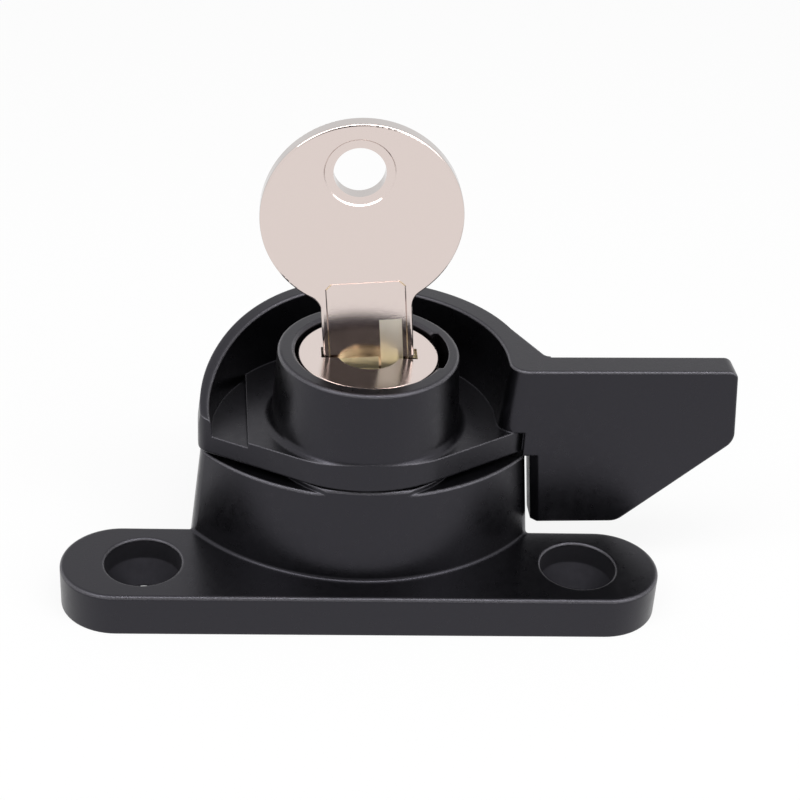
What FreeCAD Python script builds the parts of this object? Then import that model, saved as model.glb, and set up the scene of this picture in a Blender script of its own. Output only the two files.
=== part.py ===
"""Keyed crescent sash lock: a base, a half-moon handle that turns on a fixed key plug, and the key.

Millimetres, +Z up. The origin lies on the mounting face, midway between the two screw holes.
The pieces are drawn about the handle's turning axis and then moved to where that axis stands.
"""

import FreeCAD
import Part
import math
import os

from FreeCAD import Vector

os.makedirs("parts", exist_ok=True)

# Mounting plate
plate_length = 77.0
plate_width = 15.0
plate_t = 5.7
plate_edge_r = 0.5
hole_spacing = 56.0
hole_r = 2.4
screw_head_r = 4.9
screw_head_sink = 3.0
screw_head_round = 0.35

# Tower: a drum behind the plate, cut off at the front by a flatter arc
axis_y = 9.5
drum_r = 20.94
front_r = 26.5
front_reach = 12.05
tower_z = 17.8
draft_deg = 5.7
tower_corner_r = 2.5
tower_top_r = 0.5
foot_fillet_r = 0.45
pad_r = 12.6
pad_h = 0.65
wall_t = 2.6
top_wall_t = 3.2
post_r = 10.2
post_z = 7.0
rib_t = 2.2
rib_count = 4

# Handle
rest_turn_deg = 1.85
rim_r = 21.35
rim_h = 3.45
rim_reach = 12.8
rim_angle = 30.0
rim_front = 12.15
rim_corner_r = 2.0
lip_top_z = 31.1
lip_fall_deg = 122.5
lip_blend_deg = 27.5
lip_tip_deg = 196.0
lip_fall_rate = 0.113
lip_r_paddle = 16.9
lip_r_end = 19.9
lip_spiral_from = 40.0
lip_spiral_to = 186.0
rim_round = 0.35
edge_round = 0.35
step_x = -15.1
step_drop = 0.75
boss_r = 11.45
boss_foot_r = 12.0
boss_foot_fillet = 1.0
boss_z = 32.1
boss_round = 0.5
mouth_chamfer = 0.35
floor_t = 1.5

# Thumb paddle
paddle_face = 3.97
paddle_t = 3.95
paddle_x = 46.85
paddle_low_z = 8.1
paddle_slant_deg = 41.4
paddle_slant_z = 20.6
paddle_corner_r = 2.4
paddle_tip_r = 1.2
paddle_inner_bevel = 1.0
paddle_root_r = 2.4
paddle_back_r = 1.0
web_deg = 26.0
web_start_share = 0.995
web_core_share = 0.92
web_overlap = 1.0
drum_gap = 0.4

# Key plug
plug_r = 8.9
plug_z = 31.5
plug_round = 0.35
plug_gap = 0.4
tail_r = 7.0
tail_flat = 5.4
dimple_r = 4.0
dimple_depth = 1.4

# Key
key_t = 2.2
key_w = 11.3
key_lean_deg = 5.0
bow_r = 12.3
bow_up = 19.1
bow_fillet = 2.5
bow_edge_r = 0.35
ring_hole_r = 3.15
ring_hole_up = 25.2
coin_r = 4.3
blade_l = 16.5
panel_depth = 0.15
panel_margin = 0.7
panel_up = 10.6
groove_w = 2.8
groove_x = 2.9
groove_up = 5.2
groove_depth = 0.6
wide_groove_w = 5.2
wide_groove_x = -1.4

# Wafers and their springs
wafer_count = 5
wafer_t = 1.1
wafer_w = 8.3
wafer_pitch = 1.85
wafer_top_drop = 2.0
wafer_throw = 1.0
window_wall_x = 5.9
first_cut = 0.6
cut_step = 0.35
tab_w = 2.1
tab_h = 1.75
spring_r = 0.5
spring_wire = 0.2
spring_turns = 4
spring_l = 4.2

# Washers, screw and detent
washer_t = 0.5
washer_w = 1.6
wave_t = 0.25
wave_swing = 0.08
wave_count = 3
clamp_t = 1.2
clamp_r = 9.2
lock_washer_t = 0.9
lock_washer_r = 3.8
screw_r = 2.0
screw_l = 7.6
screw_cap_r = 3.6
screw_cap_h = 2.2
screw_slot = 0.9
screw_slot_l = 4.3
ball_r = 1.5
ball_at_r = 10.75
ball_proud = 0.45
ball_click = 0.35
detent_wire = 0.3
detent_turns = 5
stop_r_in = 9.9
stop_r_out = 11.6
stop_at_deg = -60.0
stop_half_deg = 8.0
stop_slack_deg = 1.0
turn_deg = 180.0

# Clearances
fit_gap = 0.05
slide_gap = 0.1
run_gap = 0.02
part_gap = 0.3
key_gap = 0.2

# Levels worked out from the sizes above
pad_z = tower_z + pad_h
washer_z = pad_z + slide_gap
rim_z = washer_z + run_gap
ledge_z = rim_z + rim_h
floor_z = rim_z + floor_t
head_z = floor_z + washer_t
bore_r = plug_r + plug_gap
wave_gap = head_z - floor_z
cavity_z = pad_z - top_wall_t - pad_h
draft = math.tan(math.radians(draft_deg))
key_lean = math.radians(key_lean_deg)
wafer_reach = plug_r - slide_gap
groove_reach = wafer_reach + wafer_throw + part_gap
tail_z = post_z + key_gap
keyway_z = plug_z - blade_l - part_gap
UP = Vector(0, 0, 1)


def polar(radius, degrees, z=0.0):
    angle = math.radians(degrees)
    return Vector(radius * math.cos(angle), radius * math.sin(angle), z)


def cylinder(radius, z0, z1, x=0.0, y=0.0):
    return Part.makeCylinder(radius, z1 - z0, Vector(x, y, z0))


def ring(r_in, r_out, z0, z1):
    return cylinder(r_out, z0, z1).cut(cylinder(r_in, z0, z1))


def box(x0, x1, y0, y1, z0, z1):
    return Part.makeBox(x1 - x0, y1 - y0, z1 - z0, Vector(x0, y0, z0))


def prism(points, along):
    wire = Part.makePolygon(points + points[:1])
    return Part.Face(wire).extrude(along)


def sector(r_in, r_out, z0, z1, from_deg, to_deg):
    """Part of a flat ring between two directions."""
    solid = Part.makeCylinder(r_out, z1 - z0, Vector(0, 0, z0), UP, to_deg - from_deg)
    solid.rotate(Vector(0, 0, 0), UP, from_deg)
    return solid.cut(cylinder(r_in, z0, z1))


def drafted(radius, z0, z1, y=0.0):
    """Round wall with the casting draft, measured where the tower ends."""
    low = radius + (tower_z - z0) * draft
    high = radius + (tower_z - z1) * draft
    cone = Part.makeCone(low, high, z1 - z0, Vector(0, y, z0))
    cone.rotate(Vector(0, y, 0), UP, 90)
    return cone


def edges_where(shape, test):
    found = []
    for edge in shape.Edges:
        middle = edge.valueAt((edge.FirstParameter + edge.LastParameter) / 2)
        if test(edge, middle):
            found.append(edge)
    return found


def is_level(edge, z):
    return abs(edge.BoundBox.ZMin - z) < 1e-4 and abs(edge.BoundBox.ZMax - z) < 1e-4


def is_upright(edge):
    lean = max(edge.BoundBox.XLength, edge.BoundBox.YLength)
    return edge.BoundBox.ZLength > 3 and lean < edge.BoundBox.ZLength / 3


def coil(radius, wire, turns, length):
    """Coil spring of square wire, from z = 0 up to the given length."""
    height = length - wire
    path = Part.makeHelix(height / turns, height, radius)
    half = wire / 2
    corners = [
        Vector(radius - half, 0, -half),
        Vector(radius + half, 0, -half),
        Vector(radius + half, 0, half),
        Vector(radius - half, 0, half),
    ]
    section = Part.makePolygon(corners + corners[:1])
    spring = Part.Wire(path).makePipeShell([section], True, True)
    spring.translate(Vector(0, 0, half))
    return spring


def save(name, shape):
    solid = shape.removeSplitter().Solids
    if len(solid) != 1 or not solid[0].isValid():
        raise ValueError(name + " is not one sound solid")
    placed = solid[0].translated(Vector(0, axis_y, 0))
    placed.exportStep("parts/" + name + ".step")


def front_wall(inset, z0, z1):
    """The flatter front of the tower, moved in by a wall."""
    return drafted(front_r - inset, z0, z1, front_r - front_reach)


def screw_hole(x):
    straight_z = plate_t - screw_head_sink
    cone_z = straight_z - (screw_head_r - hole_r)
    hole = cylinder(hole_r, 0, plate_t, x, -axis_y)
    hole = hole.fuse(cylinder(screw_head_r, straight_z, plate_t, x, -axis_y))
    cone_h = straight_z - cone_z
    return hole.fuse(Part.makeCone(hole_r, screw_head_r, cone_h, Vector(x, -axis_y, cone_z)))


def mounting_plate():
    half = plate_width / 2
    end_x = plate_length / 2 - half
    plate = box(-end_x, end_x, -half, half, 0, plate_t)
    for x in (-end_x, end_x):
        plate = plate.fuse(cylinder(half, 0, plate_t, x))
    plate = plate.removeSplitter()
    plate = plate.makeFillet(plate_edge_r, edges_where(plate, lambda e, m: is_level(e, plate_t)))
    plate.translate(Vector(0, -axis_y, 0))
    return plate


def tail_section(grow, z0, z1):
    """Round tail with two flats, which keep the plug from turning in the base."""
    flat = tail_flat + grow
    wide = tail_r + grow
    return cylinder(wide, z0, z1).common(box(-wide, wide, -flat, flat, z0, z1))


def tower():
    block = drafted(drum_r, 0, pad_z).common(front_wall(0, 0, pad_z))
    block = block.makeFillet(tower_corner_r, edges_where(block, lambda e, m: is_upright(e) and m.y < 0))
    block = block.makeFillet(tower_top_r, edges_where(block, lambda e, m: is_level(e, pad_z)))
    side_lands = ring(pad_r, 2 * drum_r, tower_z, pad_z)
    block = block.cut(side_lands)
    outside = edges_where(
        block,
        lambda e, m: is_level(e, tower_z) and math.hypot(m.x, m.y) > pad_r + wall_t,
    )
    return block.makeFillet(edge_round, outside)


def on_screw_hole(edge, middle):
    """True on the mouths of the two screw holes."""
    reach = math.hypot(abs(middle.x) - hole_spacing / 2, middle.y + axis_y)
    return is_level(edge, plate_t) and abs(reach - screw_head_r) < 0.01


def tower_hollow():
    hollow = drafted(drum_r - wall_t, 0, cavity_z).common(front_wall(wall_t, 0, cavity_z))
    hollow = hollow.cut(cylinder(post_r, post_z, cavity_z))
    for number in range(rib_count):
        rib = box(0, 2 * drum_r, -rib_t / 2, rib_t / 2, post_z, cavity_z)
        rib.rotate(Vector(0, 0, 0), UP, (number + 0.5) * 360 / rib_count)
        hollow = hollow.cut(rib)
    return hollow.cut(cylinder(ball_r + wall_t / 2, post_z, cavity_z, -ball_at_r))


def base_housing():
    base = mounting_plate().fuse(tower()).removeSplitter()
    foot = edges_where(
        base,
        lambda e, m: is_level(e, plate_t) and abs(m.x) < drum_r + 2 and m.y > -axis_y - plate_width / 2 + 1,
    )
    foot = [e for e in foot if e.Length > 1 and abs(e.BoundBox.YLength) > 0.5]
    base = base.makeFillet(foot_fillet_r, foot)
    base = base.cut(tower_hollow())
    base = base.cut(tail_section(fit_gap, 0, pad_z))
    base = base.cut(cylinder(tail_r + part_gap + washer_w + slide_gap, washer_z - washer_t, pad_z))
    first = stop_at_deg - stop_half_deg - stop_slack_deg
    last = stop_at_deg + turn_deg + stop_half_deg + stop_slack_deg
    base = base.cut(sector(stop_r_in, stop_r_out, tower_z, pad_z, first, last))
    base = base.cut(cylinder(ball_r + slide_gap, post_z + wall_t, pad_z, -ball_at_r))
    for x in (-hole_spacing / 2, hole_spacing / 2):
        base = base.cut(screw_hole(x))
    return base.makeFillet(screw_head_round, edges_where(base, on_screw_hole))


def rim_outline(z):
    """Ring outline: round behind, with a blunt wedge in front."""
    angle = math.radians(rim_angle)
    half = math.sqrt(rim_r ** 2 - rim_reach ** 2)
    corner_x = rim_reach * math.sin(angle) + half * math.cos(angle)
    corner_y = half * math.sin(angle) - rim_reach * math.cos(angle)
    nose_y = (rim_reach - rim_front) / (1 - math.cos(angle))
    nose_r = nose_y + rim_front
    nose_x = nose_r * math.sin(angle)
    tangent_y = nose_y - nose_r * math.cos(angle)
    right = Vector(corner_x, corner_y, z)
    left = Vector(-corner_x, corner_y, z)
    nose_left = Vector(-nose_x, tangent_y, z)
    nose_right = Vector(nose_x, tangent_y, z)
    back = Part.Arc(right, Vector(0, rim_r, z), left).toShape()
    nose = Part.Arc(nose_left, Vector(0, -rim_front, z), nose_right).toShape()
    left_side = Part.makeLine(left, nose_left)
    right_side = Part.makeLine(nose_right, right)
    return Part.Face(Part.Wire([back, left_side, nose, right_side]))


def rim_block(z0, z1):
    block = rim_outline(z0).extrude(Vector(0, 0, z1 - z0))
    return block.makeFillet(rim_corner_r, edges_where(block, lambda e, m: is_upright(e) and m.x < -boss_r))


def lip_inner_r(degrees):
    """The lip's inner wall winds outward from the paddle to the free end."""
    share = (degrees - lip_spiral_from) / (lip_spiral_to - lip_spiral_from)
    share = min(1.0, max(0.0, share))
    return lip_r_paddle + (lip_r_end - lip_r_paddle) * share ** 2


def lip_fall(degrees):
    """How far the lip's top has come down at a direction round the axis."""
    past = degrees - lip_fall_deg
    if past <= -lip_blend_deg:
        return 0.0
    if past < lip_blend_deg:
        return lip_fall_rate * (past + lip_blend_deg) ** 2 / (4 * lip_blend_deg)
    return lip_fall_rate * past


def curve(points):
    line = Part.BSplineCurve()
    line.interpolate(Points=points, Parameters=list(range(len(points))))
    return line.toShape()


def hook_border(z):
    """Outline of the room inside the lip at one height."""
    far = 2 * paddle_x
    grow = (z - ledge_z) * draft
    wall = curve([polar(lip_inner_r(d) + grow, d, z) for d in range(200, -1, -10)])
    start = polar(lip_inner_r(200) + grow, 200, z)
    root_x = lip_r_paddle + grow
    turn = paddle_root_r * (1 - math.sqrt(0.5))
    on_lip = Vector(root_x, paddle_root_r - paddle_face, z)
    on_paddle = Vector(root_x + paddle_root_r, -paddle_face, z)
    root = Part.Arc(on_lip, Vector(root_x + turn, turn - paddle_face, z), on_paddle).toShape()
    corners = [
        on_paddle,
        Vector(far, -paddle_face, z),
        Vector(far, -far, z),
        Vector(start.x, -far, z),
        start,
    ]
    straight = Part.makeLine(Vector(root_x, 0, z), on_lip)
    return Part.Wire([wall, straight, root] + Part.makePolygon(corners).Edges)


def hook_space(z0):
    """Room inside the lip, in front of the paddle and above a level, with drafted walls."""
    return Part.makeLoft([hook_border(z0), hook_border(boss_z)], True, True)


def lip_crest(radius):
    """Height of the lip's falling top at one radius, level where it begins."""
    steps = 24
    start = lip_fall_deg - lip_blend_deg
    step = (lip_tip_deg - start) / steps
    turns = [start + step * number for number in range(steps + 1)]
    speed = radius * math.radians(step)
    first = polar(speed, start + 90)
    last = polar(speed, lip_tip_deg + 90, -lip_fall_rate * step)
    line = Part.BSplineCurve()
    line.interpolate(
        Points=[polar(radius, d, lip_top_z - lip_fall(d)) for d in turns],
        Parameters=list(range(steps + 1)),
        InitialTangent=first,
        FinalTangent=last,
        Scale=False,
    )
    return line.toShape()


def above_lip():
    """Everything over the lip's falling top."""
    crest = Part.makeRuledSurface(lip_crest(boss_r), lip_crest(rim_r + part_gap))
    return crest.extrude(Vector(0, 0, lip_top_z))


def lip():
    low = ledge_z - rim_h / 2
    foot_r = rim_r + (ledge_z - low) * draft
    top_r = rim_r - (lip_top_z - ledge_z) * draft
    narrowing = Part.makeCone(foot_r, top_r, lip_top_z - low, Vector(0, 0, low))
    narrowing.rotate(Vector(0, 0, 0), UP, -90)
    wall = rim_block(low, lip_top_z).common(narrowing)
    wall = wall.fuse(box(lip_r_paddle, root_end() + part_gap, -paddle_face, 0, ledge_z, lip_top_z))
    return wall.cut(hook_space(ledge_z)).cut(above_lip())


def root_end():
    """How far out the curve between the lip and the paddle's face ends."""
    return lip_r_paddle + (lip_top_z - ledge_z) * draft + paddle_root_r + fit_gap


def goes_through(edge):
    """True on edges that cross the paddle from its face to its back."""
    return abs(edge.BoundBox.YLength - paddle_t) < 0.01


def paddle():
    run = (paddle_slant_z - paddle_low_z) / math.tan(math.radians(paddle_slant_deg))
    inner_x = root_end()
    wide_x = paddle_x + (lip_top_z - paddle_slant_z) * draft
    beside_drum = drum_r + drum_gap + tower_z * draft
    outline = [
        Vector(inner_x, -paddle_face, lip_top_z),
        Vector(paddle_x, -paddle_face, lip_top_z),
        Vector(wide_x, -paddle_face, paddle_slant_z),
        Vector(wide_x - run, -paddle_face, paddle_low_z),
        Vector(beside_drum - paddle_low_z * draft, -paddle_face, paddle_low_z),
        Vector(beside_drum - rim_z * draft, -paddle_face, rim_z),
        Vector(inner_x, -paddle_face, rim_z),
    ]
    blade = prism(outline, Vector(0, paddle_t, 0))
    inner = edges_where(
        blade,
        lambda e, m: is_upright(e) and inner_x + part_gap < m.x < paddle_x / 2 and m.y < -paddle_t / 2,
    )
    blade = blade.makeChamfer(paddle_inner_bevel, inner)
    above = paddle_slant_z + 1
    tip = edges_where(blade, lambda e, m: goes_through(e) and m.x > paddle_x - 0.1 and m.z > above)
    blade = blade.makeFillet(paddle_tip_r, tip)
    free = paddle_x / 2
    low = edges_where(blade, lambda e, m: goes_through(e) and m.x > free and m.z < paddle_slant_z + 0.1)
    blade = blade.makeFillet(paddle_corner_r, low)
    return blade.makeFillet(edge_round, edges_where(blade, on_paddle_end))


def web_border(radius, z):
    """Outline of the web at one height: the lip's outside runs on straight to the paddle's back."""
    back_y = paddle_t - paddle_face
    start = polar(web_start_share * radius, web_deg, z)
    outward = polar(1, web_deg)
    centre_y = back_y + paddle_back_r
    centre_x = start.x + (paddle_back_r - (centre_y - start.y) * outward.y) / outward.x
    centre = Vector(centre_x, centre_y, z)
    on_web = centre - outward * paddle_back_r
    on_paddle = Vector(centre_x, back_y, z)
    inward = (on_web + on_paddle - centre - centre).normalize()
    bend = Part.Arc(on_web, centre + inward * paddle_back_r, on_paddle).toShape()
    inner_r = web_core_share * radius
    points = [
        on_paddle,
        Vector(centre_x, back_y - web_overlap, z),
        Vector(inner_r, back_y - web_overlap, z),
        polar(inner_r, web_deg, z),
        start,
        on_web,
    ]
    return Part.Wire([bend] + Part.makePolygon(points).Edges)


def root_web():
    """Flat web between the lip's outside and the back of the paddle."""
    low = rim_z + rim_round
    top_r = rim_r - (lip_top_z - ledge_z) * draft
    foot = Part.makeLoft([web_border(rim_r, low), web_border(rim_r, ledge_z)], True, True)
    wall = Part.makeLoft([web_border(rim_r, ledge_z), web_border(top_r, lip_top_z)], True, True)
    return foot.fuse(wall)


def boss():
    """Turned body of the handle, with a flared foot and rounded rims."""
    foot_z = ledge_z + boss_foot_fillet
    flare = boss_foot_r + boss_foot_fillet
    bend = boss_foot_fillet * (1 - math.sqrt(0.5))
    turn = boss_round * (1 - math.sqrt(0.5))
    top_r = boss_r - boss_round
    mouth_r = bore_r + mouth_chamfer
    start = Vector(0, 0, rim_z + rim_round)
    low = Vector(flare, 0, rim_z + rim_round)
    ledge = Vector(flare, 0, ledge_z)
    foot = Vector(boss_foot_r, 0, foot_z)
    side = Vector(boss_r, 0, boss_z - boss_round)
    top = Vector(top_r, 0, boss_z)
    mouth = Vector(mouth_r, 0, boss_z)
    bore_top = Vector(bore_r, 0, boss_z - mouth_chamfer)
    bore_low = Vector(bore_r, 0, floor_z)
    floor = Vector(0, 0, floor_z)
    edges = [
        Part.makeLine(start, low),
        Part.makeLine(low, ledge),
        Part.Arc(ledge, Vector(boss_foot_r + bend, 0, ledge_z + bend), foot).toShape(),
        Part.makeLine(foot, side),
        Part.Arc(side, Vector(boss_r - turn, 0, boss_z - turn), top).toShape(),
        Part.makeLine(top, mouth),
        Part.makeLine(mouth, bore_top),
        Part.makeLine(bore_top, bore_low),
        Part.makeLine(bore_low, floor),
        Part.makeLine(floor, start),
    ]
    body = Part.Face(Part.Wire(edges)).revolve(Vector(0, 0, 0), UP, 360)
    return body.common(rim_block(rim_z, boss_z))


def ledge_step():
    """Lower end of the ledge, where the hook first rides on."""
    low = ledge_z - step_drop
    return hook_space(low).common(box(-rim_r, step_x, -rim_r, rim_r, low, boss_z))


def lock_groove(side, z1):
    """Pocket in the handle's bore for the ends of the wafers."""
    half = wafer_w / 2 + part_gap
    reach = box(0, groove_reach, -half, half, wafer_z(wafer_count) - wafer_t, z1)
    groove = reach.common(cylinder(groove_reach, floor_z, boss_z))
    if side < 0:
        groove.rotate(Vector(0, 0, 0), UP, 180)
    return groove


def ball_track():
    """Shallow track that the detent ball runs in, with a deeper seat at each end."""
    centre_z = pad_z + ball_proud - ball_r
    track_r = ball_r + slide_gap
    track = Part.makeTorus(ball_at_r, track_r, Vector(0, 0, centre_z), UP, -180, 180, turn_deg)
    for angle in (0.0, turn_deg):
        track = track.fuse(Part.makeSphere(track_r, polar(ball_at_r, angle, centre_z + ball_click)))
        track = track.fuse(Part.makeSphere(track_r, polar(ball_at_r, angle, centre_z)))
    return track


def stop_lug():
    low = tower_z + slide_gap
    first = stop_at_deg - stop_half_deg
    last = stop_at_deg + stop_half_deg
    return sector(stop_r_in + slide_gap, stop_r_out - slide_gap, low, floor_z, first, last)


def on_lip_inside(edge, middle):
    """True on the upper inner edge of the lip, from the paddle's root to the tip."""
    degrees = (math.degrees(math.atan2(middle.y, middle.x)) + 90) % 360 - 90
    top_z = lip_top_z - lip_fall(degrees)
    reach = math.hypot(middle.x, middle.y)
    wall_r = lip_inner_r(degrees) + (top_z - ledge_z) * draft
    long = edge.Length > 10 * edge_round
    return long and abs(middle.z - top_z) < edge_round / 4 and abs(reach - wall_r) < edge_round


def on_paddle_end(edge, middle):
    """True at the back of the paddle's free end, from where the rounding runs on all round."""
    behind = edge.BoundBox.YLength < 0.01 and middle.y > -paddle_face + paddle_t / 2
    return behind and middle.x > paddle_x and middle.z > paddle_slant_z + paddle_tip_r


def handle():
    rim = rim_block(rim_z, ledge_z)
    rim = rim.makeFillet(rim_round, edges_where(rim, lambda e, m: is_level(e, rim_z)))
    body = rim.fuse(lip()).fuse(paddle()).fuse(root_web()).removeSplitter()
    body = body.makeFillet(edge_round, edges_where(body, on_lip_inside))
    body = body.cut(ledge_step())
    body = body.fuse(boss()).removeSplitter()
    body.rotate(Vector(0, 0, 0), UP, rest_turn_deg)
    body = body.cut(cylinder(bore_r, floor_z, boss_z))
    body = body.cut(cylinder(tail_r + fit_gap, rim_z, floor_z))
    body = body.cut(lock_groove(1, boss_z))
    body = body.cut(lock_groove(-1, wafer_z(1) + wafer_t))
    body = body.cut(ball_track())
    return body.fuse(stop_lug())


def wafer_z(number):
    return plug_z - wafer_top_drop - (number - 1) * wafer_pitch


def wafer_slot(number):
    """Slot across the plug for one wafer, with room for its tab and its spring."""
    z0 = wafer_z(number) - wafer_t / 2 - slide_gap
    z1 = wafer_z(number) + wafer_t / 2 + slide_gap
    half = wafer_w / 2 + slide_gap
    slot = box(-plug_r, plug_r, -half, half, z0, z1)
    tab_top = half + tab_h
    slot = slot.fuse(box(-tab_w / 2 - wafer_throw - part_gap, tab_w / 2 + slide_gap, 0, tab_top, z0, z1))
    pocket = Part.makeCylinder(
        spring_r + spring_wire,
        spring_l,
        Vector(tab_w / 2, spring_y(), wafer_z(number)),
        Vector(1, 0, 0),
    )
    return slot.fuse(pocket)


def spring_y():
    return wafer_w / 2 + slide_gap + tab_h / 2


def cylinder_plug():
    head = cylinder(plug_r, head_z, plug_z)
    head = head.makeFillet(plug_round, edges_where(head, lambda e, m: is_level(e, plug_z)))
    plug = head.fuse(cylinder(tail_r, washer_z - washer_t, head_z))
    plug = plug.fuse(tail_section(0, tail_z, washer_z))
    half = key_t / 2 + key_gap
    slack = key_w / 2 + key_gap
    keyway = box(-slack - slide_gap, slack + part_gap, -half, half, keyway_z, plug_z)
    plug = plug.cut(keyway)
    plug = plug.cut(cylinder(dimple_r, plug_z - dimple_depth, plug_z))
    for number in range(1, wafer_count + 1):
        plug = plug.cut(wafer_slot(number))
    return plug.cut(cylinder(screw_r + fit_gap, tail_z, tail_z + screw_l - clamp_t))


def bitting(number):
    """How far the key's edge stands from its middle at one wafer."""
    return key_w / 2 - first_cut - (number - 1) * cut_step


def wafer(number):
    z = wafer_z(number)
    half = wafer_w / 2
    plate = box(-plug_r, plug_r, -half, half, z - wafer_t / 2, z + wafer_t / 2)
    plate = plate.common(cylinder(wafer_reach, z - wafer_t / 2, z + wafer_t / 2))
    plate = plate.fuse(box(-tab_w / 2, tab_w / 2, 0, half + tab_h, z - wafer_t / 2, z + wafer_t / 2))
    lean_x = (plug_z - z) * math.tan(key_lean)
    right = bitting(number) + lean_x + slide_gap + fit_gap
    window_y = key_t / 2 + key_gap
    return plate.cut(box(-window_wall_x, right, -window_y, window_y, z - wafer_t, z + wafer_t))


def wafer_spring(number):
    spring = coil(spring_r, spring_wire, spring_turns, spring_l)
    spring.rotate(Vector(0, 0, 0), Vector(0, 1, 0), 90)
    spring.translate(Vector(tab_w / 2, spring_y(), wafer_z(number)))
    return spring


def blade_outline():
    """Half-width of the blade down its cut edge, from the plug's face to the tip."""
    flat = wafer_t / 2
    points = [Vector(key_w / 2, 0, 0)]
    for number in range(1, wafer_count + 1):
        up = wafer_z(number) - plug_z
        points.append(Vector(bitting(number), 0, up + flat))
        points.append(Vector(bitting(number), 0, up - flat))
    points.append(Vector(0, 0, -blade_l))
    points.append(Vector(-key_w / 4, 0, -blade_l))
    points.append(Vector(-key_w / 2, 0, -blade_l + key_w / 4))
    points.append(Vector(-key_w / 2, 0, 0))
    return points


def key_blank():
    """Flat key, drawn upright with z = 0 at the plug's face."""
    through = Vector(0, key_t, 0)
    half = key_w / 2
    neck = box(-half, half, 0, key_t, 0, bow_up)
    bow = Part.makeCylinder(bow_r, key_t, Vector(0, 0, bow_up), Vector(0, 1, 0))
    blank = bow.fuse(neck).removeSplitter()
    crook = edges_where(blank, lambda e, m: e.BoundBox.YLength > key_t - 0.01 and 0.1 < m.z < bow_up)
    blank = blank.makeFillet(bow_fillet, crook)
    face = edges_where(blank, lambda e, m: e.BoundBox.YLength < 0.01 and m.z > bow_up - bow_r)
    blank = blank.makeFillet(bow_edge_r, face)
    return blank.fuse(prism(blade_outline(), through)).removeSplitter()


def panel_border(y, inset):
    half = key_w / 2 - panel_margin - inset
    top = panel_up - inset
    points = [
        Vector(-half, y, -blade_l),
        Vector(half, y, -blade_l),
        Vector(half, y, top - panel_margin),
        Vector(half - panel_margin, y, top),
        Vector(-half + panel_margin, y, top),
        Vector(-half, y, top - panel_margin),
    ]
    return Part.makePolygon(points + points[:1])


def panel(face_y, floor_y):
    """Pressed panel with sloped sides on one face of the neck and blade."""
    return Part.makeLoft([panel_border(face_y, 0), panel_border(floor_y, panel_depth)], True, True)


def key():
    shape = key_blank()
    through = Vector(0, 1, 0)
    shape = shape.cut(Part.makeCylinder(ring_hole_r, key_t, Vector(0, 0, ring_hole_up), through))
    for face_y, inward in ((0, through), (key_t, -through)):
        ring_at = Vector(0, face_y, ring_hole_up)
        shape = shape.cut(Part.makeCone(coin_r, coin_r - panel_depth, panel_depth, ring_at, inward))
        shape = shape.cut(panel(face_y, face_y + inward.y * panel_depth))
    half = groove_w / 2
    shape = shape.cut(box(groove_x - half, groove_x + half, 0, groove_depth, -blade_l, groove_up))
    half = wide_groove_w / 2
    shape = shape.cut(box(wide_groove_x - half, wide_groove_x + half, 0, groove_depth, -blade_l, 0))
    shape.translate(Vector(0, -key_t / 2, plug_z))
    shape.rotate(Vector(0, 0, plug_z), Vector(0, 1, 0), -key_lean_deg)
    return shape


def wave_washer():
    """Thin ring with three waves, so that it presses the handle down."""
    middle_z = floor_z + wave_gap / 2 - wave_t / 2
    r_in = tail_r + part_gap
    borders = []
    for radius in (r_in, r_in + washer_w - slide_gap):
        points = []
        for degrees in range(0, 360, 15):
            swing = wave_swing * math.cos(math.radians(wave_count * degrees))
            points.append(polar(radius, degrees, middle_z + swing))
        line = Part.BSplineCurve()
        line.interpolate(Points=points, PeriodicFlag=True)
        borders.append(line.toShape())
    return Part.makeRuledSurface(borders[0], borders[1]).extrude(Vector(0, 0, wave_t))


def thrust_washer():
    r_in = tail_r + part_gap
    return ring(r_in, r_in + washer_w, washer_z - washer_t, washer_z)


def clamp_washer():
    return ring(screw_r + part_gap, clamp_r, post_z - clamp_t, post_z)


def lock_washer():
    z1 = post_z - clamp_t
    washer = ring(screw_r + part_gap, lock_washer_r, z1 - lock_washer_t, z1)
    return washer.cut(box(0, lock_washer_r, 0, screw_slot / 2, z1 - lock_washer_t, z1))


def plug_screw():
    cap_z = post_z - clamp_t - lock_washer_t
    cap = cylinder(screw_cap_r, cap_z - screw_cap_h, cap_z)
    cap = cap.makeFillet(screw_cap_h / 2, edges_where(cap, lambda e, m: is_level(e, cap_z - screw_cap_h)))
    screw = cap.fuse(cylinder(screw_r, cap_z, cap_z + screw_l))
    low = cap_z - screw_cap_h
    reach = screw_slot_l / 2
    half = screw_slot / 2
    screw = screw.cut(box(-reach, reach, -half, half, low, low + screw_cap_h / 2))
    return screw.cut(box(-half, half, -reach, reach, low, low + screw_cap_h / 2))


def detent_ball():
    return Part.makeSphere(ball_r, Vector(-ball_at_r, 0, pad_z + ball_proud - ball_r))


def detent_spring():
    coil_r = ball_r - detent_wire
    low = post_z + wall_t
    under_ball = math.sqrt((ball_r + detent_wire) ** 2 - coil_r ** 2)
    high = pad_z + ball_proud - ball_r - under_ball
    spring = coil(coil_r, detent_wire, detent_turns, high - low)
    spring.translate(Vector(-ball_at_r, 0, low))
    return spring


save("base_housing", base_housing())
save("handle", handle())
save("cylinder_plug", cylinder_plug())
save("key", key())
for number in range(1, wafer_count + 1):
    save("wafer_" + str(number), wafer(number))
    save("wafer_spring_" + str(number), wafer_spring(number))
save("wave_washer", wave_washer())
save("thrust_washer", thrust_washer())
save("clamp_washer", clamp_washer())
save("lock_washer", lock_washer())
save("plug_screw", plug_screw())
save("detent_ball", detent_ball())
save("detent_spring", detent_spring())
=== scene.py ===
"""Looks of the keyed crescent sash lock: satin black castings, a nickel plug and key, a white studio."""

import math

import bpy
from mathutils import Matrix, Vector

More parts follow.
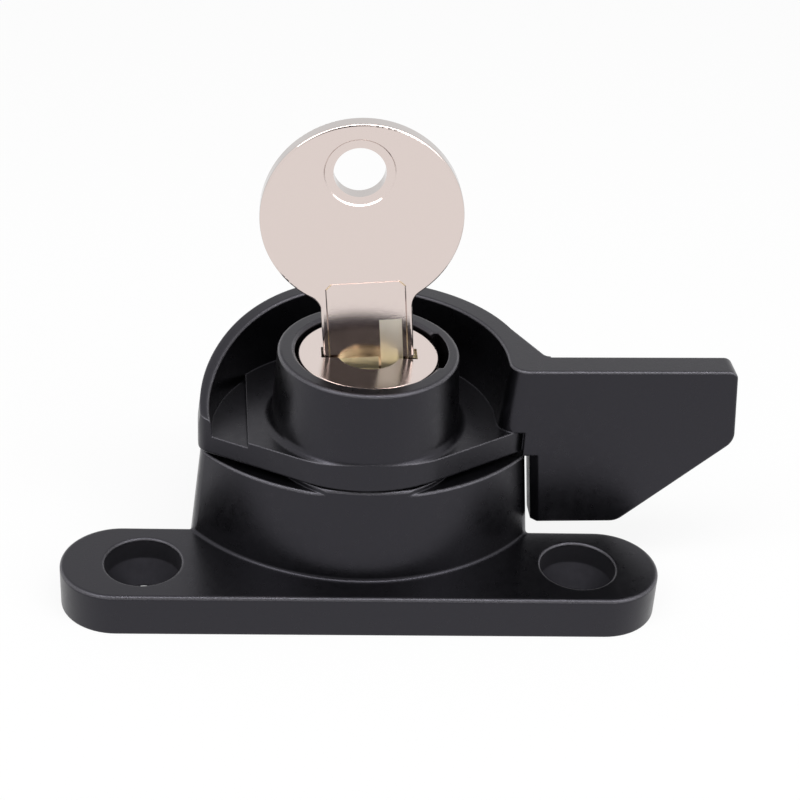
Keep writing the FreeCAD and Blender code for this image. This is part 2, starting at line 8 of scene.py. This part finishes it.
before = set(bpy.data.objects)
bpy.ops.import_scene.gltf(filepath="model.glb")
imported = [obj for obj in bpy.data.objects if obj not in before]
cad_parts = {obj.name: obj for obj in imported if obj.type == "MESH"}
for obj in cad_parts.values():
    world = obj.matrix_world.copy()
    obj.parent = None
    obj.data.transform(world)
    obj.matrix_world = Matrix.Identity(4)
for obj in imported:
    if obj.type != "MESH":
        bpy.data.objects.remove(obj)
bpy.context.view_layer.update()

MM = 0.001

# Places on the part that the masks follow
AXIS_Y = 9.5 * MM
PLUG_Z = 31.5 * MM
PLUG_SKIN = 0.4 * MM
KEY_HALF = 1.1 * MM
KEY_FACE_Y = AXIS_Y - KEY_HALF
GROOVE_START = 0.25 * MM
GROOVE_END = 0.75 * MM
GROOVE_RISE = 6.0 * MM
HOLE_X = 28.0 * MM
HOLE_R = 5.0 * MM
HOLE_RIM = 0.4 * MM
PLATE_Z = 5.7 * MM

# Colours
COAT = (0.0020, 0.0020, 0.0024)
# Painted highlight: a lighter coat colour laid on the outer rounded edges
PAINTED_EDGE_HIGHLIGHT = (0.115, 0.112, 0.122)
COAT_TINT = (0.88, 0.85, 1.0)
NICKEL = (0.71, 0.615, 0.58)
SHEARED_NICKEL = (0.55, 0.515, 0.50)
CUT_BRASS = (0.89, 0.85, 0.75)
BRASS = (0.87, 0.77, 0.54)
SPRING_STEEL = (0.45, 0.45, 0.46)
ZINC_STEEL = (0.62, 0.63, 0.65)
NYLON = (0.85, 0.84, 0.8)
PALE_GREY = (0.86, 0.86, 0.86)
WHITE = (1.0, 1.0, 1.0)

# Spans of the noise and the masks, and what two masks add to the roughness
NOISE_SPAN = (0.25, 0.75)
ROUND_RISE = 0.6
ROUND_SPAN = (0.18, 0.38)
THIN_SPAN = (0.98, 0.85)
SIDE_TURN = 0.5
HOLE_DULLNESS = 0.45
CUT_DULLNESS = 0.3

# Studio, in metres; the gap's span is in cosines from the eye's direction
LOCK_MIDDLE = (0, 0, 0.02)
FLOOR_HALF = 3.0
FLOOR_DROP = 0.05 * MM
FLOOR_GLOW = 0.88
TENT_FILL = 0.4
GAP_SPAN = (0.80, 0.94)
GAP_DEPTH = 0.9

# Camera, as solved from the photo
EYE = Vector((-13.932, -188.012, 146.052)) * MM
PITCH = math.radians(31.467)
YAW = math.radians(5.29)
ROLL = math.radians(3.738)
LENS_MM = 81.866
SENSOR_MM = 36.0


def new_material(name):
    """A material with its node tree and its main shader."""
    material = bpy.data.materials.new(name)
    material.use_nodes = True
    tree = material.node_tree
    return material, tree, tree.nodes["Principled BSDF"]


def coords(tree, kind):
    return tree.nodes.new("ShaderNodeTexCoord").outputs[kind]


def split(tree, vector):
    axes = tree.nodes.new("ShaderNodeSeparateXYZ")
    tree.links.new(vector, axes.inputs["Vector"])
    return axes.outputs["X"], axes.outputs["Y"], axes.outputs["Z"]


def math_node(tree, operation, *values):
    """Works on one or two values, each given as a number or as a socket."""
    node = tree.nodes.new("ShaderNodeMath")
    node.operation = operation
    for socket, value in zip(node.inputs, values):
        if isinstance(value, float):
            socket.default_value = value
        else:
            tree.links.new(value, socket)
    return node.outputs["Value"]


def squared(tree, value):
    return math_node(tree, "MULTIPLY", value, value)


def remap(tree, value, before, after, eased=False):
    """Maps one range onto another and holds its end values beyond it."""
    node = tree.nodes.new("ShaderNodeMapRange")
    if eased:
        node.interpolation_type = "SMOOTHSTEP"
    for socket, limit in zip(("From Min", "From Max", "To Min", "To Max"), (*before, *after)):
        node.inputs[socket].default_value = limit
    tree.links.new(value, node.inputs["Value"])
    return node.outputs["Result"]


def blend(tree, factor, first, second):
    """Mixes two colours, each given as a value or as a socket."""
    mix = tree.nodes.new("ShaderNodeMix")
    mix.data_type = "RGBA"
    tree.links.new(factor, mix.inputs["Factor"])
    for socket, colour in ((mix.inputs["A"], first), (mix.inputs["B"], second)):
        if isinstance(colour, tuple):
            socket.default_value = (*colour, 1)
        else:
            tree.links.new(colour, socket)
    return mix.outputs["Result"]


def noise(tree, scale, detail=3.0, rough=0.5):
    """Noise in the object's own space; scale is in cells per metre."""
    texture = tree.nodes.new("ShaderNodeTexNoise")
    texture.inputs["Scale"].default_value = scale
    texture.inputs["Detail"].default_value = detail
    texture.inputs["Roughness"].default_value = rough
    tree.links.new(coords(tree, "Object"), texture.inputs["Vector"])
    return texture.outputs["Fac"]


def uneven(tree, scale, low, high):
    """A value that wanders between two limits."""
    return remap(tree, noise(tree, scale), NOISE_SPAN, (low, high))


def mottled(tree, colour, scale, darkest):
    """A colour that wanders between itself and a darker share of itself."""
    dark = tuple(darkest * share for share in colour)
    return blend(tree, noise(tree, scale), dark, colour)


def bump(tree, shader, height, distance, strength):
    node = tree.nodes.new("ShaderNodeBump")
    node.inputs["Distance"].default_value = distance
    node.inputs["Strength"].default_value = strength
    tree.links.new(height, node.inputs["Height"])
    tree.links.new(node.outputs["Normal"], shader.inputs["Normal"])
    return node


def soft_edges(tree, bumps, radius):
    """Rounds the coat over the casting's edges; returns the rounded normal."""
    bevel = tree.nodes.new("ShaderNodeBevel")
    bevel.samples = 6
    bevel.inputs["Radius"].default_value = radius
    tree.links.new(bevel.outputs["Normal"], bumps.inputs["Normal"])
    return bevel.outputs["Normal"]


def down_screw_holes(tree):
    """1 below the rims of the two screw holes."""
    x, y, z = split(tree, coords(tree, "Object"))
    aside = math_node(tree, "SUBTRACT", math_node(tree, "ABSOLUTE", x), HOLE_X)
    reach = math_node(tree, "ADD", squared(tree, aside), squared(tree, y))
    inside = math_node(tree, "LESS_THAN", reach, HOLE_R * HOLE_R)
    below = math_node(tree, "LESS_THAN", z, PLATE_Z - HOLE_RIM)
    return math_node(tree, "MULTIPLY", inside, below)


def between_faces(tree, normal):
    """1 on the rounds between upright and level faces, the handle's axis being upright in every pose."""
    _, _, rise = split(tree, normal)
    off = math_node(tree, "ABSOLUTE", math_node(tree, "SUBTRACT", rise, ROUND_RISE))
    return remap(tree, off, ROUND_SPAN, (1.0, 0.0), eased=True)


def outer_edges(tree, reach):
    """1 where the metal behind the surface is thin, as it is along outer edges."""
    behind = tree.nodes.new("ShaderNodeAmbientOcclusion")
    behind.inside = True
    behind.only_local = True
    behind.samples = 8
    behind.inputs["Distance"].default_value = reach
    return remap(tree, behind.outputs["AO"], THIN_SPAN, (0.0, 1.0))


def sheared(tree):
    """1 on the sides of the key's blank, which face along its plane."""
    _, across, _ = split(tree, coords(tree, "Normal"))
    return math_node(tree, "LESS_THAN", math_node(tree, "ABSOLUTE", across), SIDE_TURN)


def key_cuts(tree):
    """1 at the depth of the key's milled grooves, from its neck down."""
    _, y, z = split(tree, coords(tree, "Object"))
    past_start = math_node(tree, "GREATER_THAN", y, KEY_FACE_Y + GROOVE_START)
    before_end = math_node(tree, "LESS_THAN", y, KEY_FACE_Y + GROOVE_END)
    low = math_node(tree, "LESS_THAN", z, PLUG_Z + GROOVE_RISE)
    groove = math_node(tree, "MULTIPLY", past_start, before_end)
    return math_node(tree, "MULTIPLY", groove, low)


def plug_cuts(tree):
    """1 below the plug's plated face, in the keyway and its milled mouth."""
    _, _, z = split(tree, coords(tree, "Object"))
    return math_node(tree, "LESS_THAN", z, PLUG_Z - PLUG_SKIN)


def black_coat():
    """Satin powder coat, with a painted highlight that lightens its outer rounded edges, and dull down in
    the screw holes.
    """
    material, tree, shader = new_material("black_coat")
    shader.inputs["Specular IOR Level"].default_value = 0.47
    shader.inputs["Specular Tint"].default_value = (*COAT_TINT, 1)
    holes = down_screw_holes(tree)
    satin = uneven(tree, scale=900.0, low=0.26, high=0.34)
    dull = math_node(tree, "MULTIPLY", holes, HOLE_DULLNESS)
    tree.links.new(math_node(tree, "ADD", satin, dull), shader.inputs["Roughness"])
    grain = bump(tree, shader, noise(tree, scale=2600.0, detail=2.0), distance=0.03 * MM, strength=0.3)
    edges = between_faces(tree, soft_edges(tree, grain, radius=0.3 * MM))
    # Painted highlight: the coat's colour is lighter on outer rounds between upright and level faces, but
    # not down in the screw holes
    painted_highlight = math_node(tree, "MULTIPLY", edges, outer_edges(tree, reach=0.6 * MM))
    painted_highlight = math_node(tree, "MULTIPLY", painted_highlight, math_node(tree, "SUBTRACT", 1.0, holes))
    tree.links.new(blend(tree, painted_highlight, COAT, PAINTED_EDGE_HIGHLIGHT), shader.inputs["Base Color"])
    return material


def metal(name, colour, smoothest, roughest):
    """Bare metal, a little mottled, with fine tool marks."""
    material, tree, shader = new_material(name)
    shader.inputs["Metallic"].default_value = 1.0
    tree.links.new(mottled(tree, colour, scale=500.0, darkest=0.9), shader.inputs["Base Color"])
    satin = uneven(tree, scale=1500.0, low=smoothest, high=roughest)
    tree.links.new(satin, shader.inputs["Roughness"])
    bump(tree, shader, noise(tree, scale=3000.0, detail=4.0), distance=0.02 * MM, strength=0.2)
    return material


def plated(name, cut_mask, dull_sides=False):
    """Nickel plate that gives way to bare brass where the cut mask says the metal has been milled."""
    material, tree, shader = new_material(name)
    shader.inputs["Metallic"].default_value = 1.0
    nickel = blend(tree, sheared(tree), NICKEL, SHEARED_NICKEL) if dull_sides else NICKEL
    cut = cut_mask(tree)
    tree.links.new(blend(tree, cut, nickel, CUT_BRASS), shader.inputs["Base Color"])
    polish = uneven(tree, scale=1200.0, low=0.06, high=0.13)
    tool_marks = math_node(tree, "MULTIPLY", cut, CUT_DULLNESS)
    tree.links.new(math_node(tree, "ADD", polish, tool_marks), shader.inputs["Roughness"])
    bump(tree, shader, noise(tree, scale=6000.0, rough=0.7), distance=0.012 * MM, strength=0.8)
    return material


def plastic(name, colour):
    """Moulded plastic with a faint cloudiness and a matt skin."""
    material, tree, shader = new_material(name)
    tree.links.new(mottled(tree, colour, scale=400.0, darkest=0.95), shader.inputs["Base Color"])
    tree.links.new(uneven(tree, scale=1500.0, low=0.42, high=0.55), shader.inputs["Roughness"])
    bump(tree, shader, noise(tree, scale=2500.0), distance=0.02 * MM, strength=0.2)
    return material


def dress_part():
    """Gives each piece of the lock its material."""
    coat = black_coat()
    brass = metal("brass", BRASS, smoothest=0.25, roughest=0.37)
    spring_steel = metal("spring_steel", SPRING_STEEL, smoothest=0.25, roughest=0.37)
    zinc_steel = metal("zinc_steel", ZINC_STEEL, smoothest=0.30, roughest=0.42)
    looks = {
        "base_housing": coat,
        "handle": coat,
        "cylinder_plug": plated("plug_plate", plug_cuts),
        "key": plated("key_plate", key_cuts, dull_sides=True),
        "wave_washer": spring_steel,
        "thrust_washer": plastic("nylon", NYLON),
        "clamp_washer": zinc_steel,
        "lock_washer": zinc_steel,
        "plug_screw": zinc_steel,
        "detent_ball": zinc_steel,
        "detent_spring": spring_steel,
    }
    for number in range(1, 6):
        looks[f"wafer_{number}"] = brass
        looks[f"wafer_spring_{number}"] = spring_steel
    for name, material in looks.items():
        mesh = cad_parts[name].data
        mesh.materials.clear()
        mesh.materials.append(material)


def white_for_eye(tree, output, dark, light):
    """Joins two shaders: the second for rays that show the surroundings, the first for the rest."""
    path = tree.nodes.new("ShaderNodeLightPath")
    seen = math_node(tree, "MAXIMUM", path.outputs["Is Camera Ray"], path.outputs["Is Glossy Ray"])
    seen = math_node(tree, "MAXIMUM", seen, path.outputs["Is Transmission Ray"])
    mix = tree.nodes.new("ShaderNodeMixShader")
    tree.links.new(seen, mix.inputs["Fac"])
    tree.links.new(dark, mix.inputs[1])
    tree.links.new(light, mix.inputs[2])
    tree.links.new(mix.outputs["Shader"], output.inputs["Surface"])


def floor_material():
    """Pale floor that looks white but keeps a share of its shadow."""
    material, tree, shader = new_material("floor")
    shader.inputs["Base Color"].default_value = (*PALE_GREY, 1)
    shader.inputs["Roughness"].default_value = 0.9
    shader.inputs["Specular IOR Level"].default_value = 0.0
    glow = tree.nodes.new("ShaderNodeEmission")
    glow.inputs["Strength"].default_value = 1.0
    partly = tree.nodes.new("ShaderNodeMixShader")
    partly.inputs["Fac"].default_value = FLOOR_GLOW
    tree.links.new(shader.outputs["BSDF"], partly.inputs[1])
    tree.links.new(glow.outputs["Emission"], partly.inputs[2])
    white_for_eye(tree, tree.nodes["Material Output"], shader.outputs["BSDF"], partly.outputs["Shader"])
    return material


def make_floor():
    """A square floor just under the plate."""
    mesh = bpy.data.meshes.new("floor")
    signs = ((-1, -1), (1, -1), (1, 1), (-1, 1))
    corners = [(FLOOR_HALF * across, FLOOR_HALF * along, 0) for across, along in signs]
    mesh.from_pydata(corners, [], [(0, 1, 2, 3)])
    mesh.materials.append(floor_material())
    floor = bpy.data.objects.new("floor", mesh)
    bpy.context.scene.collection.objects.link(floor)
    floor.location.z = -FLOOR_DROP


def tent_light(tree):
    """White all round; reflections also show the grey gap where the camera looks into the tent."""
    facing = tree.nodes.new("ShaderNodeVectorMath")
    facing.operation = "DOT_PRODUCT"
    facing.inputs[1].default_value = EYE.normalized()
    tree.links.new(coords(tree, "Generated"), facing.inputs[0])
    gap = remap(tree, facing.outputs["Value"], GAP_SPAN, (0.0, GAP_DEPTH), eased=True)
    glossy = tree.nodes.new("ShaderNodeLightPath").outputs["Is Glossy Ray"]
    return math_node(tree, "SUBTRACT", 1.0, math_node(tree, "MULTIPLY", gap, glossy))


def make_world():
    """The white tent: plain to the eye, dimmer as a light."""
    world = bpy.data.worlds.new("studio")
    bpy.context.scene.world = world
    world.use_nodes = True
    tree = world.node_tree
    dim = tree.nodes["Background"]
    dim.inputs["Color"].default_value = (*WHITE, 1)
    dim.inputs["Strength"].default_value = TENT_FILL
    clear = tree.nodes.new("ShaderNodeBackground")
    clear.inputs["Color"].default_value = (*WHITE, 1)
    tree.links.new(tent_light(tree), clear.inputs["Strength"])
    output = tree.nodes["World Output"]
    white_for_eye(tree, output, dim.outputs["Background"], clear.outputs["Background"])


def soft_light(name, place, target, width, depth, power):
    """An oval lamp that faces its target; sizes in metres, power in watts."""
    data = bpy.data.lights.new(name, "AREA")
    data.shape = "ELLIPSE"
    data.size = width
    data.size_y = depth
    data.energy = power
    light = bpy.data.objects.new(name, data)
    light.location = place
    light.rotation_euler = (Vector(target) - Vector(place)).to_track_quat("-Z", "Y").to_euler()
    bpy.context.scene.collection.objects.link(light)


def make_camera():
    """The photo's camera."""
    ahead = Vector((math.sin(YAW) * math.cos(PITCH), math.cos(YAW) * math.cos(PITCH), -math.sin(PITCH)))
    level = Vector((math.cos(YAW), -math.sin(YAW), 0))
    above = level.cross(ahead)
    right = level * math.cos(ROLL) + above * math.sin(ROLL)
    up = above * math.cos(ROLL) - level * math.sin(ROLL)
    data = bpy.data.cameras.new("camera")
    data.sensor_width = SENSOR_MM
    data.lens = LENS_MM
    data.clip_start = 0.01
    data.clip_end = 20.0
    camera = bpy.data.objects.new("camera", data)
    place = Matrix((right, up, -ahead)).transposed().to_4x4()
    place.translation = EYE
    camera.matrix_world = place
    bpy.context.scene.collection.objects.link(camera)
    bpy.context.scene.camera = camera


dress_part()
make_floor()
make_world()
soft_light("key_light", place=(-0.35, -0.25, 0.55), target=LOCK_MIDDLE, width=0.35, depth=0.35, power=1.3)
soft_light("fill_light", place=(0.45, -0.3, 0.4), target=LOCK_MIDDLE, width=0.4, depth=0.4, power=0.8)
soft_light("top_light", place=(0.12, -0.2, 0.6), target=(0.12, 0, 0.02), width=0.7, depth=0.16, power=2.4)
make_camera()
bpy.context.scene.view_settings.view_transform = "Standard"
